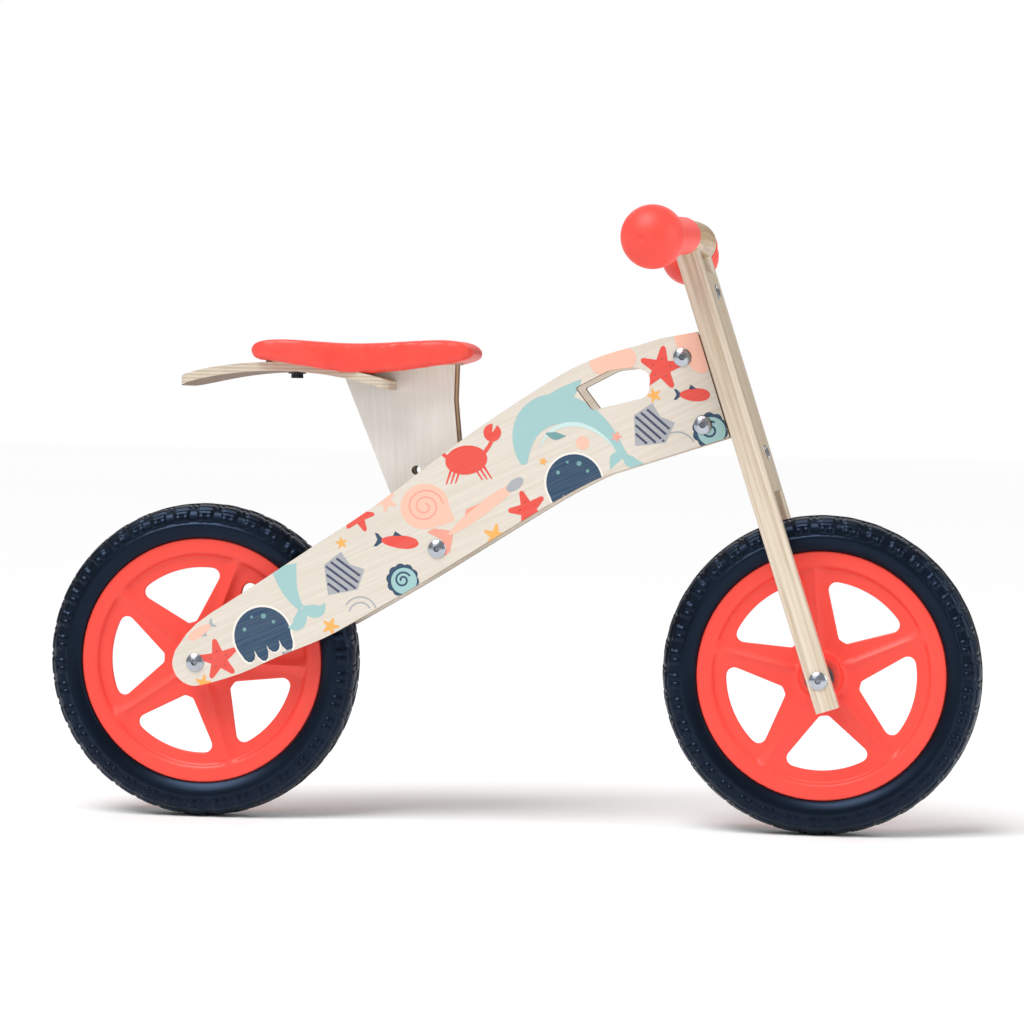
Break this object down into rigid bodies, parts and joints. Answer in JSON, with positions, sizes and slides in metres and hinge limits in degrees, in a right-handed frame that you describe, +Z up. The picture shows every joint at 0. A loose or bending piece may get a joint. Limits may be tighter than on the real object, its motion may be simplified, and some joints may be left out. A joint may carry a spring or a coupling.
{
  "type": "balance bike",
  "caption": "Child's wooden balance bike with plywood frame plates, raked steering fork, bowed bar with ball grips, padded saddle on a bent tail board and spoked moulded wheels.",
  "frame": {"origin": "on the ground midway between the two wheel centres, in the middle plane", "axes": "+X forward, +Y to the rider's left, +Z up"},
  "size_m": [0.847, 0.3944, 0.5487],
  "materials": {
    "plywood_plate": "matt printed birch plywood with bare cut edges",
    "beech": "planed beech, unfinished",
    "fork_wood": "clear varnished planed wood",
    "seat_plywood": "pale lacquered birch plywood",
    "bar_wood": "clear varnished turned beech",
    "zinc_steel": "bright plated domed bolts and sleeves",
    "plain_steel": "turned steel",
    "black_steel": "black oxide",
    "nylon": "moulded nylon",
    "dark_nylon": "moulded dark grey nylon",
    "seat_vinyl": "smooth coral red synthetic leather over foam",
    "rim_plastic": "moulded coral red polypropylene",
    "tyre_foam": "moulded closed-cell foam",
    "grip_rubber": "soft moulded coral red grip"
  },
  "bodies": {
    "frame": {"frame_plate_right": "plywood_plate", "frame_plate_left": "plywood_plate", "head_block": "beech", "head_bushes": "nylon", "head_sleeves": "zinc_steel", "head_bolts": "zinc_steel", "rear_axle_sleeve": "zinc_steel", "rear_axle_bolt": "zinc_steel", "rear_washers": "plain_steel", "post_sleeve": "zinc_steel", "post_bolt": "zinc_steel", "post_spacer": "beech", "side_spacers": "beech", "post_peg": "beech", "seat_support_right": "seat_plywood", "seat_support_left": "seat_plywood", "seat_block": "beech", "seat_dowels": "beech", "tail_board": "seat_plywood", "seat_pan": "seat_plywood", "seat_screws": "plain_steel", "seat_bolt": "black_steel", "seat_tee_nut": "plain_steel", "seat_cushion": "seat_vinyl"},
    "rear_wheel": {"rear_rim": "rim_plastic", "rear_tyre": "tyre_foam", "rear_bushes": "dark_nylon"},
    "fork": {"fork_leg_right": "fork_wood", "fork_leg_left": "fork_wood", "upper_cross_block": "beech", "lower_cross_block": "beech", "fork_dowels": "beech", "front_board": "plywood_plate", "board_bolts": "zinc_steel", "steering_pin": "plain_steel", "steering_collars": "dark_nylon", "handlebar": "bar_wood", "bar_dowels": "beech", "grip_right": "grip_rubber", "grip_left": "grip_rubber", "front_axle_sleeve": "zinc_steel", "front_axle_bolt": "zinc_steel", "front_spacers": "dark_nylon"},
    "front_wheel": {"front_rim": "rim_plastic", "front_tyre": "tyre_foam", "front_bushes": "dark_nylon"}
  },
  "joints": [
    {"name": "steer", "type": "hinge", "parent": "frame", "child": "fork", "pos_m": [0.1911, 0, 0.40139], "axis": [-0.309, 0, 0.9511], "range_deg": [-25, 25]},
    {"name": "rear_wheel_spin", "type": "hinge", "parent": "frame", "child": "rear_wheel", "pos_m": [-0.281, 0, 0.1425], "axis": [0, 1, 0], "continuous": true},
    {"name": "front_wheel_spin", "type": "hinge", "parent": "fork", "child": "front_wheel", "pos_m": [0.281, 0, 0.1425], "axis": [0, 1, 0], "continuous": true}
  ]
}
